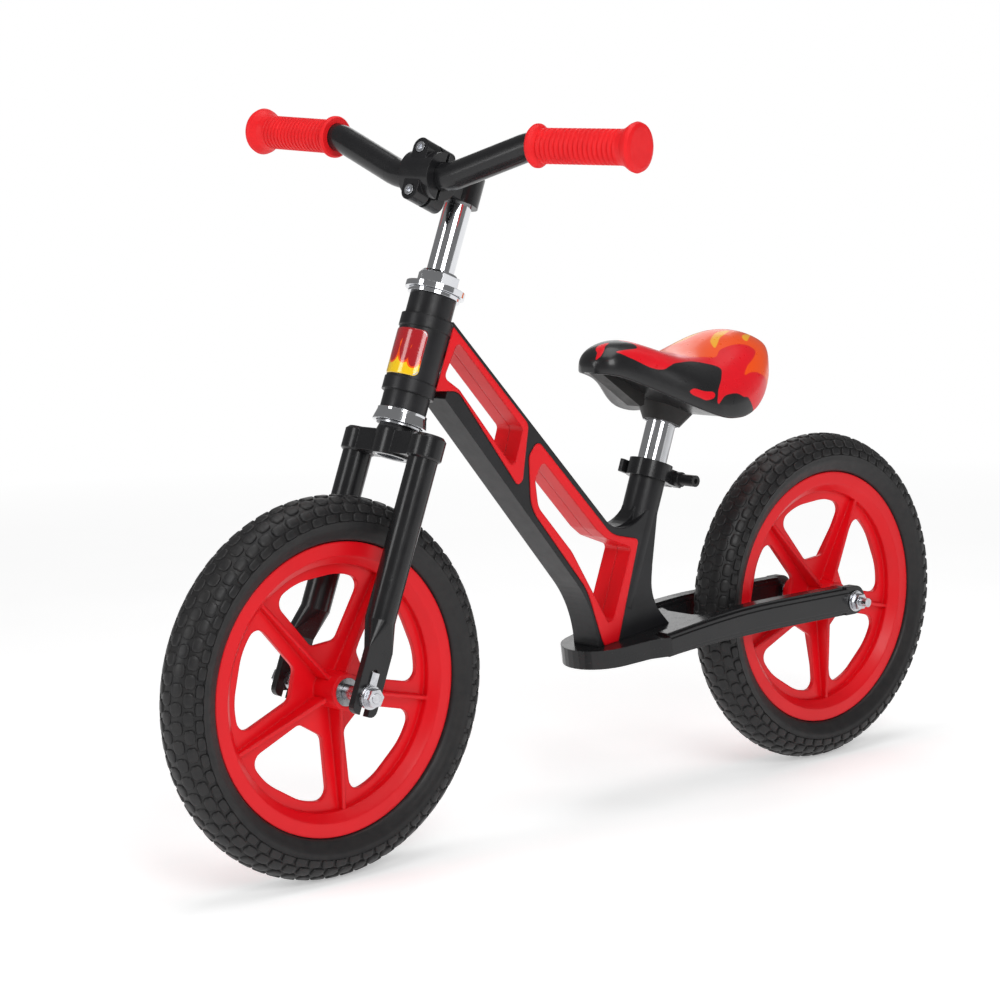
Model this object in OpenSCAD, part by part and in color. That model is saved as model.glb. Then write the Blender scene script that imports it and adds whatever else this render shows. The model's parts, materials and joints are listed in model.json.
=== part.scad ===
// Children's balance bike with 12 inch foam-tyred wheels.
// +X points forward, +Y to the rider's left, +Z up.
// The origin is on the ground, midway between the two axles.

/* [Overall] */
// Distance between the wheel axles
wheelbase = 569.6; // [540:1:600]
// Angle of the steering axis above the ground
head_angle = 68.7; // [66:0.1:72]
// How far the front axle sits ahead of the steering axis
fork_rake = 2; // [0:0.5:8]
// Thickness of the cast frame
frame_t = 30; // [26:1:34]

/* [Wheels] */
// Outer radius of the tyres
tyre_r = 150; // [146:0.5:154]
// Width of the tyres
tyre_w = 44; // [40:1:48]
// Radius of the red rim's outer edge
rim_r = 115; // [110:1:118]
// Width of the rim over its outer edges
rim_w = 29; // [26:1:32]
// Number of spokes
spokes = 5; // [4:1:6]
// Angle of the first spoke above the horizontal
spoke_phase = 49; // [0:1:71]
// Length of the plastic hub
hub_w = 52; // [46:1:56]
// Diameter of the axles
axle_d = 8; // [8:0.5:10]

/* [Cockpit] */
// Forward reach of the stem
stem_reach = 42; // [36:0.5:50]
// Angle that the stem is turned to the left in the steerer
stem_turn = 8.6; // [0:0.1:9]
// Sideways offset of the handlebar in its clamp, positive to the left
bar_offset = -3; // [-5:0.5:0]
// Diameter of the handlebar and of the stem post
bar_d = 22.2; // [21:0.1:22.2]
// Half the width of the handlebar over its tubes
bar_half = 198; // [190:1:210]
// Rise from the clamp to the grips
bar_rise = 27.5; // [20:0.5:34]
// Length of each grip
grip_len = 95; // [90:1:100]

/* [Saddle] */
// Angle of the seat tube above the ground
seat_angle = 69.5; // [66:0.5:72]
// Diameter of the seat post
seat_post_d = 25.4; // [25:0.1:25.4]
// Length of the saddle
saddle_len = 203; // [195:1:225]
// Greatest width of the saddle
saddle_w = 120; // [112:1:136]

/* [Foot plate] */
// Width of the foot plate at its front end
plate_front_w = 72; // [64:1:78]
// Thickness of the foot plate
plate_t = 16; // [14:1:18]
// Height of the two rear stays
stay_h = 26; // [24:1:30]
// Width of the two rear stays
stay_w = 20; // [16:1:22]

/* [Hidden] */
$fn = 64;
eps = 0.01;

// Steering column, measured along the steering axis upward from its foot beside the axle
lower_cup_s = 213;
head_bottom_s = 223;
head_top_s = 318;
washer_s = 321;
locknut_s = 326;
locknut_top_s = 338;
stem_s = 404;
crown_low_s = 187;
crown_top_s = 206.5;
crown_neck_s = 211;
leg_offset = 40.4;
leg_ahead = 1;
leg_r = 11.9;
socket_r = 14.2;
leg_flat_s = 58;
leg_plate_y = 49;
leg_plate_t = 6;
steerer_r = 12.7;
steerer_bore_r = 11.15;
post_r = bar_d / 2;

// Front beam, drawn in the X-Z plane
beam_angle = 46.9;
beam_top = [160, 426.1];
belly_angle = 49.7;
belly_top = [170.2, 366.2];
foot_front_x = 5.5;
foot_back_x = -78;
plate_slope = 6.6;
plate_top_z = 144;

// Seat tube
seat_collar_at = [-71.3, 0, 285.5];
seat_tube_r = 15.5;
collar_h = 15;
tube_top = collar_h / 2 - 1.5;
seat_bore_r = 12.75;
notch_r = 24;

// Stays
stay_y = 40.5;
stay_level_x = -190;
stay_root_x = -42;
plate_back = -50.3;
stay_drop = 9;
dropout_y = 44.5;
dropout_t = 8;
rear_x = -wheelbase / 2;
front_x = wheelbase / 2;

// Axle hardware
nut_h = 6.4;
washer_t = 1.6;
axle_rear_half = 64;
stub_len = 6.5;
axle_front_half = 62;
stay_out_y = dropout_y + dropout_t / 2;
leg_out_y = leg_plate_y + leg_plate_t / 2;

satin_black = [0.11, 0.11, 0.12];
gloss_black = [0.06, 0.06, 0.06];
red = [0.89, 0.02, 0.07];
chrome = [0.80, 0.81, 0.83];
foam = [0.09, 0.09, 0.09];

// ---------- helpers ----------

// Points of an arc around c, from angle a0 to a1 in n steps
function arc(c, r, a0, a1, n = 8) =
    [for (i = [0:n]) c + r * [cos(a0 + (a1 - a0) * i / n), sin(a0 + (a1 - a0) * i / n)]];

function unit(v) = v / norm(v);

// Rounds the corner b between a and c with radius r
function corner(a, b, c, r, n = 6) =
    let(u = unit(a - b), v = unit(c - b), half = acos(u * v) / 2)
    let(mid = b + unit(u + v) * r / sin(half))
    let(p = b + u * r / tan(half), q = b + v * r / tan(half))
    let(a0 = atan2(p[1] - mid[1], p[0] - mid[0]), a1 = atan2(q[1] - mid[1], q[0] - mid[0]))
    let(turn = a1 - a0 > 180 ? a1 - a0 - 360 : a1 - a0 < -180 ? a1 - a0 + 360 : a1 - a0)
    arc(mid, r, a0, a0 + turn, n);

// Closed outline through pts with each corner rounded to its radius
function rounded(pts, radii) =
    let(n = len(pts))
    [for (i = [0:n - 1]) each corner(pts[(i + n - 1) % n], pts[i], pts[(i + 1) % n], radii[i])];

// Extrudes an X-Z outline across the bike from y0 to y1
module side_plate(y0, y1) {
    translate([0, y1, 0])
        rotate([90, 0, 0])
            linear_extrude(y1 - y0)
                children();
}

// Places children in the steering frame: Z along the axis, X ahead of it
module steering(turn = 0) {
    translate([front_x - fork_rake * sin(head_angle), 0, tyre_r - fork_rake * cos(head_angle)])
        rotate([0, head_angle - 90, 0])
            rotate([0, 0, turn])
                children();
}

// Places children in the seat frame: Z along the seat post, X ahead of it
module seat_frame() {
    translate(seat_collar_at)
        rotate([0, seat_angle - 90, 0])
            children();
}

// Places children on the foot plate's top surface, at its front centre
module on_plate() {
    translate([foot_front_x, 0, plate_top_z])
        rotate([0, plate_slope, 0])
            children();
}

module axis_y(x, y, z) {
    translate([x, y, z])
        rotate([-90, 0, 0])
            children();
}

module tube(r, bore, h) {
    difference() {
        cylinder(r = r, h = h);
        translate([0, 0, -1])
            cylinder(r = bore, h = h + 2);
    }
}

// Hexagonal nut with a round flange, bored for its bolt
module flange_nut(flat, flange_r, bore, h) {
    difference() {
        union() {
            cylinder(r = flat / sqrt(3), h = h, $fn = 6);
            cylinder(r = flange_r, h = 1.8);
        }
        translate([0, 0, -1])
            cylinder(r = bore, h = h + 2);
    }
}

// ---------- frame casting ----------

function along(p, angle, d) = p + d * [cos(angle), sin(angle)];

// Meeting point of two lines, each given by a point and an angle
function cross_at(p, a, q, b) =
    p + [cos(a), sin(a)] * ((q[0] - p[0]) * sin(b) - (q[1] - p[1]) * cos(b)) / sin(b - a);

seat_axis_at = [seat_collar_at[0], seat_collar_at[2]];
seat_normal = [sin(seat_angle), cos(seat_angle)];
seat_front_line = seat_axis_at + seat_tube_r * seat_normal;
seat_rear_line = seat_axis_at - seat_tube_r * seat_normal;
notch_at = cross_at(beam_top, beam_angle, seat_front_line, 180 - seat_angle);
toe_r = 100;
toe_front_x = foot_front_x + 1;
toe_centre_x = toe_front_x + toe_r;
toe_start = along(belly_top, belly_angle,
    (toe_front_x + toe_r * (1 - sin(belly_angle)) - belly_top[0]) / cos(belly_angle));
toe_centre = [toe_centre_x, toe_start[1] - toe_r * cos(belly_angle)];
heel_top = along(seat_rear_line, 180 - seat_angle, -78);
heel_low = [foot_back_x, plate_top_z + (foot_front_x - foot_back_x) * tan(plate_slope)];

function notch_arc(r) = corner(beam_top, notch_at, seat_front_line, r, 12);

// The outline stops on the seat tube's axis, inset from the notch on the outer faces
function frame_outline(r, inset) =
    let(fillet = notch_arc(r), top = fillet[len(fillet) - 1])
    concat(
        [beam_top],
        [for (i = [0:len(fillet) - 1]) fillet[i] - seat_normal * inset * pow(i / 12, 2)],
        [top - seat_normal * seat_tube_r, top - seat_normal * (2 * seat_tube_r - inset), heel_top],
        corner(heel_top, [heel_top[0] + 3, heel_top[1] - 30], heel_low, 40, 8),
        [heel_low, [toe_front_x, toe_centre[1] - 4]],
        arc(toe_centre, toe_r, 180, 90 + belly_angle, 12),
        [belly_top, along(belly_top, 180 - head_angle, 16), along(beam_top, -30, 14)]);

// Front window: outline of the red insert and of the opening in it
front_window = [[160.5, 422.4], [180.7, 373.1], [157, 371.5], [95.5, 290], [90, 294], [82.5, 339]];
front_window_r = [0.8, 0.8, 14, 3, 5, 9];
front_hole = [[156.5, 411], [171.5, 383], [156, 372.5], [99.5, 304], [88.5, 336]];
front_hole_r = [4, 5, 9, 4, 5];

// Rear window, the same
rear_window = [[72.5, 325], [82.5, 313], [81.5, 270], [19, 194.5], [3, 150.5], [-1, 142.5],
    [-15.5, 144], [-41.8, 231], [-10, 238]];
rear_window_r = [5, 9, 34, 60, 10, 2, 4, 4, 30];
rear_hole = [[67.5, 308], [76.5, 293], [73.5, 270], [36.5, 229], [-4.5, 163.5], [-10.5, 165.5],
    [-33, 224.5], [-3, 236], [8, 244.5]];
rear_hole_r = [4, 5, 16, 40, 3, 3, 4, 14, 16];

module head_tube_body() {
    steering() {
        translate([0, 0, head_bottom_s])
            cylinder(r = 18.6, h = head_top_s - head_bottom_s);
        translate([0, 0, 237.5])
            cylinder(r = 21, h = 10.5);
        translate([0, 0, 248])
            cylinder(r = 20, h = 42);
        translate([0, 0, 290])
            cylinder(r = 21, h = 10);
    }
}

module head_tube_bore() {
    steering() {
        translate([0, 0, head_bottom_s - 20])
            cylinder(r = 14.5, h = head_top_s - head_bottom_s + 60);
        translate([0, 0, head_bottom_s - 1])
            cylinder(r = 16.2, h = 7);
        translate([0, 0, head_top_s - 6])
            cylinder(r = 16.2, h = 7);
    }
}

module seat_tube_body() {
    seat_frame()
        translate([0, 0, -120])
            cylinder(r = seat_tube_r, h = 120 + tube_top);
}

module seat_tube_bore() {
    seat_frame() {
        translate([0, 0, -100])
            cylinder(r = seat_bore_r, h = 140);
        translate([-seat_tube_r - 4, -1.5, -38])
            cube([16, 3, 40]);
    }
}

// Sloping ground block that trims the foot to the plate's top surface
module below_plate() {
    on_plate()
        translate([-150, -60, -80])
            cube([220, 120, 80]);
}

module frame_casting() {
    color(satin_black)
        difference() {
            union() {
                side_plate(-frame_t / 2, frame_t / 2)
                    polygon(frame_outline(notch_r, 9));
                side_plate(-frame_t / 4, frame_t / 4)
                    polygon(frame_outline(notch_r, 1));
                head_tube_body();
                seat_tube_body();
            }
            side_plate(-frame_t, frame_t)
                polygon(rounded(front_window, front_window_r));
            side_plate(-frame_t, frame_t)
                polygon(rounded(rear_window, rear_window_r));
            head_tube_bore();
            seat_tube_bore();
            below_plate();
            plate_bolt_holes();
        }
}

// One half of a red window insert, from the mid plane out to its flange
module insert_half(outer, outer_r, hole, hole_r, side) {
    y_in = side > 0 ? 0.05 : -(frame_t / 2 + 0.8);
    y_out = side > 0 ? frame_t / 2 + 0.8 : -0.05;
    color(red)
        difference() {
            side_plate(y_in, y_out)
                polygon(rounded(outer, outer_r));
            side_plate(-frame_t, frame_t)
                polygon(rounded(hole, hole_r));
            steering()
                cylinder(r = 21, h = 400);
            seat_tube_bore();
            below_plate();
        }
}

module front_insert_left() {
    insert_half(front_window, front_window_r, front_hole, front_hole_r, 1);
}

module front_insert_right() {
    insert_half(front_window, front_window_r, front_hole, front_hole_r, -1);
}

module rear_insert_left() {
    insert_half(rear_window, rear_window_r, rear_hole, rear_hole_r, 1);
}

module rear_insert_right() {
    insert_half(rear_window, rear_window_r, rear_hole, rear_hole_r, -1);
}

// Thin domed label that wraps the front of the head tube
module head_badge() {
    color(gloss_black)
        steering()
            translate([0, 0, 250])
                rotate([0, 0, -62])
                    rotate_extrude(angle = 124)
                        translate([20, 0])
                            square([0.8, 37]);
}

// ---------- headset ----------

module upper_cup() {
    color(chrome)
        steering() {
            translate([0, 0, head_top_s])
                tube(21, 14, 3);
            translate([0, 0, head_top_s - 6])
                difference() {
                    cylinder(r = 16.2, h = 6 + eps);
                    translate([0, 0, -1])
                        cylinder(r = 14, h = 8);
                }
        }
}

module lower_cup() {
    color(chrome)
        steering()
            difference() {
                union() {
                    translate([0, 0, head_bottom_s - eps])
                        cylinder(r = 16.2, h = 6);
                    translate([0, 0, head_bottom_s - 2])
                        cylinder(r = 20, h = 2);
                    translate([0, 0, lower_cup_s])
                        cylinder(r1 = 22, r2 = 20, h = 8 + eps);
                }
                translate([0, 0, lower_cup_s - 1])
                    cylinder(r = 14, h = 30);
                translate([0, 0, lower_cup_s - 1])
                    cylinder(r = 19, h = 5.5);
            }
}

// Caged ball bearing ring: a row of balls around the steerer
module ball_ring(s, ring_r, ball_r, count) {
    color(chrome)
        steering()
            translate([0, 0, s])
                for (i = [0:count - 1])
                    rotate([0, 0, i * 360 / count])
                        translate([ring_r, 0, 0])
                            sphere(r = ball_r, $fn = 24);
}

module upper_bearing() {
    ball_ring(322.85, 17, 1.5, 20);
}

module lower_bearing() {
    ball_ring(215.2, 16.6, 1.9, 16);
}

// ---------- foot plate and stays ----------

stay_z = tyre_r + 1;

function stay_mid(x) =
    x < stay_level_x ? stay_z
    : stay_z - stay_drop * pow((x - stay_level_x) / (stay_root_x - stay_level_x), 2);

// Half height of a stay, which slims towards the foot plate
function stay_half(x) = stay_h / 2 * (1 - 0.2 * ease(-160, stay_root_x, x));

// Outline of a stay's side, with the height scaled by k
function stay_outline(x_end, k) =
    let(xs = [for (i = [0:14]) x_end + (stay_root_x - x_end) * i / 14])
    concat([for (x = xs) [x, stay_mid(x) + k * stay_half(x)]],
        [for (i = [14:-1:0]) [xs[i], stay_mid(xs[i]) - k * stay_half(xs[i])]]);

// Rounded bar, built from three nested slabs, with a thinner dropout around the axle
module stay(side) {
    color(gloss_black)
        difference() {
            union() {
                for (layer = [[1, 0.56], [0.84, 0.82], [0.56, 1]])
                    side_plate(side * stay_y - layer[0] * stay_w / 2, side * stay_y + layer[0] * stay_w / 2)
                        polygon(stay_outline(rear_x + 10, layer[1]));
                side_plate(side * dropout_y - dropout_t / 2, side * dropout_y + dropout_t / 2)
                    polygon([[rear_x, stay_z - stay_h / 2], [rear_x + 12, stay_z - stay_h / 2],
                        [rear_x + 12, stay_z + stay_h / 2], [rear_x, stay_z + stay_h / 2]]);
                axis_y(rear_x, side * dropout_y - dropout_t / 2, stay_z)
                    cylinder(r = stay_h / 2, h = dropout_t);
            }
            axis_y(rear_x, side * stay_y - stay_w, tyre_r)
                cylinder(r = axle_d / 2 + 0.05, h = 2 * stay_w);
            on_plate()
                translate([plate_back, -70, -60])
                    cube([120, 140, 120]);
            if (side > 0)
                axis_y(rear_x, dropout_y + dropout_t / 2, tyre_r)
                    cylinder(r = 12, h = 20);
            else
                axis_y(rear_x, -dropout_y - dropout_t / 2 - 20, tyre_r)
                    cylinder(r = 12, h = 20);
        }
}

module left_stay() {
    stay(1);
}

module right_stay() {
    stay(-1);
}

// Foot plate outline in plan, x measured back from the plate's front foot
function plate_half() = concat(
    arc([-18, 0], plate_front_w / 2, 0, 80, 8),
    [[-34, 40.5], [-42, 46], [-47, 49.5], [plate_back, 50.5], [plate_back, 30.45],
     [-112, 30.45], [-118, 26], [-113, 14]]);

module plate_outline() {
    half = plate_half();
    back = [for (i = [len(half) - 1:-1:1]) [half[i][0], -half[i][1]]];
    polygon(concat(half, back));
}

module plate_bolt_at() {
    for (x = [-34, -68])
        on_plate()
            translate([x, 0, 0])
                children();
}

module plate_bolt_holes() {
    plate_bolt_at()
        translate([0, 0, -40])
            cylinder(r = 3.05, h = 62);
}

module foot_plate() {
    color(gloss_black)
        difference() {
            on_plate()
                translate([0, 0, -plate_t])
                    linear_extrude(plate_t)
                        plate_outline();
            plate_bolt_holes();
            plate_bolt_at()
                translate([0, 0, -plate_t - 1])
                    cylinder(r = 5.5, h = 7);
        }
}

module plate_bolts() {
    color(chrome)
        plate_bolt_at() {
            difference() {
                translate([0, 0, -plate_t + 0.4])
                    cylinder(r = 5, h = 5.6);
                translate([0, 0, -plate_t - 1])
                    cylinder(r = 2.9, h = 4, $fn = 6);
            }
            translate([0, 0, -plate_t + 5])
                cylinder(r = 3.05, h = plate_t + 14);
        }
}

// ---------- seat clamp ----------

ear_x = -26;
skewer_y0 = -19;
skewer_y1 = 18;
pivot_y = -16.5;
lever_len = 38;
lever_t = 4.4;
lever_y = -24.6;
lever_swing = 120;

module seat_collar() {
    color(gloss_black)
        seat_frame()
            difference() {
                union() {
                    translate([0, 0, -collar_h / 2])
                        cylinder(r = 19, h = collar_h);
                    translate([ear_x - 6.5, -9.5, -6.5])
                        cube([18, 19, 13]);
                }
                translate([0, 0, -collar_h])
                    cylinder(r = seat_tube_r, h = collar_h + tube_top);
                translate([0, 0, -10])
                    cylinder(r = seat_bore_r, h = 20);
                translate([-60, -1.2, -10])
                    cube([46, 2.4, 20]);
                translate([ear_x, -20, 0])
                    rotate([-90, 0, 0])
                        cylinder(r = 2.6, h = 40);
            }
}

// Bolt through the ears, with the lever's pivot pin at its right end
module collar_skewer() {
    color(chrome)
        seat_frame() {
            translate([ear_x, skewer_y0, 0])
                rotate([-90, 0, 0])
                    cylinder(r = 2.5, h = skewer_y1 - skewer_y0);
            translate([ear_x, pivot_y, -6])
                cylinder(r = 1.55, h = 12);
        }
}

// Barrel nut on the skewer's left end
module collar_nut() {
    color(gloss_black)
        seat_frame()
            translate([ear_x, 9.6, 0])
                rotate([-90, 0, 0])
                    difference() {
                        union() {
                            cylinder(r = 6.5, h = 5);
                            translate([0, 0, 5 - eps])
                                cylinder(r = 5, h = 17);
                        }
                        translate([0, 0, -1])
                            cylinder(r = 2.5, h = 18);
                        translate([0, 0, 19])
                            cylinder(r = 2.4, h = 5, $fn = 6);
                    }
}

// Cam lever on the skewer's right end, closed along the collar's side
module quick_release_lever() {
    color(gloss_black)
        seat_frame()
            difference() {
                union() {
                    translate([ear_x, pivot_y, -6])
                        cylinder(r = 6.5, h = 12);
                    translate([ear_x, lever_y, -5.5])
                        cube([lever_len, lever_t, 11]);
                    translate([ear_x, lever_y, -5.5])
                        cube([5, 6, 11]);
                    translate([ear_x + lever_len, lever_y + lever_t / 2, -5.5])
                        cylinder(r = lever_t / 2, h = 11);
                }
                translate([ear_x, pivot_y, -7])
                    cylinder(r = 1.6, h = 14);
                translate([ear_x, pivot_y, -2.9]) {
                    cylinder(r = 3.9, h = 5.8);
                    for (turn = [0:15:lever_swing])
                        rotate([0, 0, turn])
                            translate([-2.9, 0, 0])
                                cube([5.8, 14, 5.8]);
                }
            }
}

// ---------- axles ----------

module axle(x, half) {
    axis_y(x, -half, tyre_r)
        cylinder(r = axle_d / 2, h = 2 * half);
}

// The rear axle's ends stand past its nuts, beyond a narrow thread relief
module rear_axle() {
    nut_end = stay_out_y + washer_t + nut_h;
    color(chrome) {
        axle(rear_x, nut_end + 0.2);
        axis_y(rear_x, -axle_rear_half, tyre_r) {
            cylinder(r = axle_d / 2 - 0.5, h = 2 * axle_rear_half);
            cylinder(r = axle_d / 2, h = stub_len);
            translate([0, 0, 2 * axle_rear_half - stub_len])
                cylinder(r = axle_d / 2, h = stub_len);
        }
    }
}

module front_axle() {
    color(chrome)
        axle(front_x, axle_front_half);
}

// Flange nuts with a washer under each, on both ends of an axle
module axle_nuts(x, face_y) {
    color(chrome)
        for (side = [1, -1])
            translate([x, 0, tyre_r])
                rotate([-90 * side, 0, 0])
                    translate([0, 0, face_y]) {
                        tube(9.5, axle_d / 2, washer_t);
                        translate([0, 0, washer_t])
                            flange_nut(13, 8.6, axle_d / 2, nut_h);
                    }
}

module rear_axle_nuts() {
    axle_nuts(rear_x, stay_out_y);
}

module front_axle_nuts() {
    axle_nuts(front_x, leg_out_y + 1.4);
}

// Thin locknuts that hold the bearings on the axle, up to the dropouts
module locknuts(x, face_y) {
    color(chrome)
        for (side = [1, -1])
            translate([x, 0, tyre_r])
                rotate([-90 * side, 0, 0]) {
                    translate([0, 0, hub_w / 2 + 0.3])
                        tube(6, axle_d / 2, face_y - 6 - hub_w / 2 - 0.3);
                    translate([0, 0, face_y - 6])
                        difference() {
                            cylinder(r = 13 / sqrt(3), h = 6, $fn = 6);
                            translate([0, 0, -1])
                                cylinder(r = axle_d / 2, h = 8);
                        }
                }
}

module rear_locknuts() {
    locknuts(rear_x, dropout_y - dropout_t / 2);
}

module front_locknuts() {
    locknuts(front_x, leg_plate_y - leg_plate_t / 2);
}

// Safety washers whose bent tab hooks into the hole above the axle
module front_tab_washers() {
    color(chrome)
        translate([front_x, 0, tyre_r])
            rotate([0, head_angle - 90, 0])
                for (side = [1, -1])
                    rotate([-90 * side, 0, 0])
                        translate([0, 0, leg_out_y])
                            difference() {
                                union() {
                                    cylinder(r = 9.5, h = 1.4);
                                    translate([-3.5, side > 0 ? -19 : 0, 0])
                                        cube([7, 19, 1.4]);
                                    translate([-2, side > 0 ? -19 : 17.4, -4])
                                        cube([4, 1.6, 5.4]);
                                }
                                translate([0, 0, -5])
                                    cylinder(r = axle_d / 2, h = 10);
                            }
}

// ---------- fork ----------

module fork_crown() {
    color(gloss_black)
        steering()
            difference() {
                union() {
                    for (side = [1, -1])
                        translate([leg_ahead, side * leg_offset, crown_low_s])
                            socket(crown_top_s - crown_low_s);
                    translate([-12, -leg_offset, crown_low_s + 1])
                        cube([24, 2 * leg_offset, crown_top_s - crown_low_s - 1.5]);
                    translate([0, 0, crown_low_s - 0.5])
                        turned([[16.5, 0], [16.5, crown_top_s - crown_low_s + 0.5],
                                [15.2, crown_neck_s - crown_low_s + 0.5]]);
                }
                translate([0, 0, crown_low_s - 5])
                    cylinder(r = steerer_r, h = 40);
                for (side = [1, -1])
                    translate([leg_ahead, side * leg_offset, crown_low_s - 1])
                        cylinder(r = leg_r, h = crown_top_s - crown_low_s - 4);
            }
}

// Round socket with softened top and bottom rims
module socket(h) {
    turned([[socket_r - 1.5, 0], [socket_r, 1.5], [socket_r, h - 2.5], [socket_r - 2.5, h]]);
}

// Solid of revolution under a profile of [radius, height] points that runs upwards
module turned(profile) {
    top = profile[len(profile) - 1][1];
    rotate_extrude()
        polygon(concat([[0, profile[0][1]]], profile, [[0, top]]));
}

// Tube that flattens into a slotted plate around the axle
module fork_leg(side) {
    color(gloss_black)
        difference() {
            steering()
                translate([leg_ahead, side * leg_offset, 0])
                    union() {
                        translate([0, 0, leg_flat_s])
                            tube(leg_r, leg_r - 1.6, crown_top_s - leg_flat_s - 5);
                        translate([0, 0, leg_flat_s])
                            cylinder(r = leg_r - 0.5, h = 4);
                        leg_taper(side);
                    }
            leg_plate_cuts(side);
        }
    color(gloss_black)
        difference() {
            steering()
                translate([0, side * leg_plate_y, 0])
                    rotate([90, 0, 0])
                        translate([0, 0, -leg_plate_t / 2])
                            linear_extrude(leg_plate_t)
                                polygon(leg_plate_outline());
            leg_plate_cuts(side);
        }
}

plate_half_w = 12;
leg_plate_s = 36;

function leg_plate_outline() = concat(
    [[fork_rake + plate_half_w, leg_plate_s], [fork_rake - plate_half_w, leg_plate_s]],
    arc([fork_rake - plate_half_w + 6, -9], 6, 180, 270, 4),
    arc([fork_rake + plate_half_w - 6, -9], 6, 270, 360, 4));

module leg_taper(side) {
    hull() {
        translate([0, 0, leg_flat_s])
            cylinder(r = leg_r, h = 1, $fn = 32);
        translate([fork_rake - leg_ahead - plate_half_w,
                side * (leg_plate_y - leg_offset) - leg_plate_t / 2, leg_plate_s - 1])
            cube([2 * plate_half_w, leg_plate_t, 1.5]);
    }
}

module leg_plate_cuts(side) {
    translate([front_x, side * (leg_plate_y - 10), tyre_r])
        rotate([0, head_angle - 90, 0]) {
            rotate([-90 * side, 0, 0])
                cylinder(r = axle_d / 2 + 0.05, h = 20);
            translate([-axle_d / 2 - 0.05, side > 0 ? 0 : -20, -30])
                cube([axle_d + 0.1, 20, 30]);
            translate([0, 0, 18.2])
                rotate([-90 * side, 0, 0])
                    cylinder(r = 3, h = 20);
        }
}

module left_fork_leg() {
    fork_leg(1);
}

module right_fork_leg() {
    fork_leg(-1);
}

module steerer_tube() {
    color(chrome)
        steering()
            translate([0, 0, crown_low_s - 0.5])
                tube(steerer_r, steerer_bore_r, locknut_top_s - crown_low_s);
}

module crown_race() {
    color(chrome)
        steering()
            translate([0, 0, crown_neck_s])
                difference() {
                    union() {
                        cylinder(r = 18, h = 1.6);
                        cylinder(r = 14.4, h = 4.2);
                    }
                    translate([0, 0, -1])
                        cylinder(r = steerer_r, h = 8);
                }
}

module headset_washer() {
    color(chrome)
        steering()
            difference() {
                union() {
                    translate([0, 0, washer_s + 0.3])
                        cylinder(r = 24, h = 4.7);
                }
                translate([0, 0, washer_s - 1])
                    cylinder(r = 19.2, h = 4.4);
                translate([0, 0, washer_s - 1])
                    cylinder(r = steerer_r, h = 10);
            }
}

module headset_locknut() {
    color(chrome)
        steering()
            translate([0, 0, locknut_s])
                difference() {
                    union() {
                        cylinder(r = 17.4, h = 10, $fn = 6);
                        translate([0, 0, 10 - eps])
                            cylinder(r1 = 14.8, r2 = 13.8, h = 2);
                    }
                    translate([0, 0, -1])
                        cylinder(r = steerer_r, h = 15);
                }
}

// ---------- wheels ----------

module in_wheel(x) {
    translate([x, 0, tyre_r])
        rotate([90, 0, 0])
            children();
}

// Right half of the tyre's section, from the bead out to the middle of the tread
tread_r = 24;
tread_arc = 52;

function tyre_half(side) = concat(
    [[rim_r - 8, side * (rim_w / 2 - 3)], [rim_r, side * (rim_w / 2 - 3)],
     [rim_r + 1, side * (rim_w / 2 + 2)], [rim_r + 6, side * (tyre_w / 2 - 2.5)],
     [rim_r + 12, side * tyre_w / 2], [rim_r + 19, side * (tyre_w / 2 - 0.6)]],
    arc([tyre_r - tread_r, 0], tread_r, side * tread_arc, side * 8, 5));

function reversed(list) = [for (i = [len(list) - 1:-1:0]) list[i]];

// Foam tyre with a rounded tread, seated in the rim's channel
module tyre(x) {
    color(foam)
        in_wheel(x)
            rotate_extrude($fn = 96)
                polygon(concat(tyre_half(-1), reversed(tyre_half(1))));
}

module front_tyre() {
    tyre(front_x);
}

module rear_tyre() {
    tyre(rear_x);
}

bearing_r = 11;
bearing_w = 7;
web_t = 4;
rim_in_r = 97;

// Rounded triangular window between two spokes
module spoke_window() {
    polygon(rounded(
        [[35.5, -12.5], [78, -43], [87.6, -20], [87.6, 20], [78, 43], [35.5, 12.5]],
        [8, 9, 55, 55, 9, 8]));
}

module rim(x) {
    color(red)
        in_wheel(x)
            difference() {
                union() {
                    rotate_extrude($fn = 96)
                        polygon([[rim_in_r, -web_t / 2], [rim_in_r, -7], [102, -rim_w / 2 + 2],
                            [104, -rim_w / 2], [rim_r, -rim_w / 2], [rim_r, -rim_w / 2 + 2.9],
                            [rim_r - 8.1, -rim_w / 2 + 2.9], [rim_r - 8.1, rim_w / 2 - 2.9],
                            [rim_r, rim_w / 2 - 2.9], [rim_r, rim_w / 2], [104, rim_w / 2],
                            [102, rim_w / 2 - 2], [rim_in_r, 7], [rim_in_r, web_t / 2]]);
                    translate([0, 0, -web_t / 2])
                        cylinder(r = rim_in_r + 2, h = web_t);
                    translate([0, 0, -hub_w / 2])
                        cylinder(r = 14.5, h = hub_w);
                    for (i = [0:spokes - 1])
                        rotate([0, 0, spoke_phase + i * 360 / spokes])
                            rib();
                }
                for (i = [0:spokes - 1])
                    rotate([0, 0, spoke_phase + (i + 0.5) * 360 / spokes])
                        translate([0, 0, -web_t])
                            linear_extrude(2 * web_t)
                                spoke_window();
                translate([0, 0, -hub_w])
                    cylinder(r = 6.2, h = 2 * hub_w);
                for (side = [1, -1])
                    translate([0, 0, side * (hub_w / 2 - bearing_w / 2 + 0.5) - bearing_w / 2 - 0.5])
                        cylinder(r = bearing_r, h = bearing_w + 1);
            }
}

// Raised rib along the middle of a spoke, on both faces of the web
module rib() {
    translate([0, 1.6, 0])
        rotate([90, 0, 0])
            linear_extrude(3.2)
                polygon([[10, -17], [98, -7], [98, 7], [10, 17]]);
}

module front_rim() {
    rim(front_x);
}

module rear_rim() {
    rim(rear_x);
}

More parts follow.
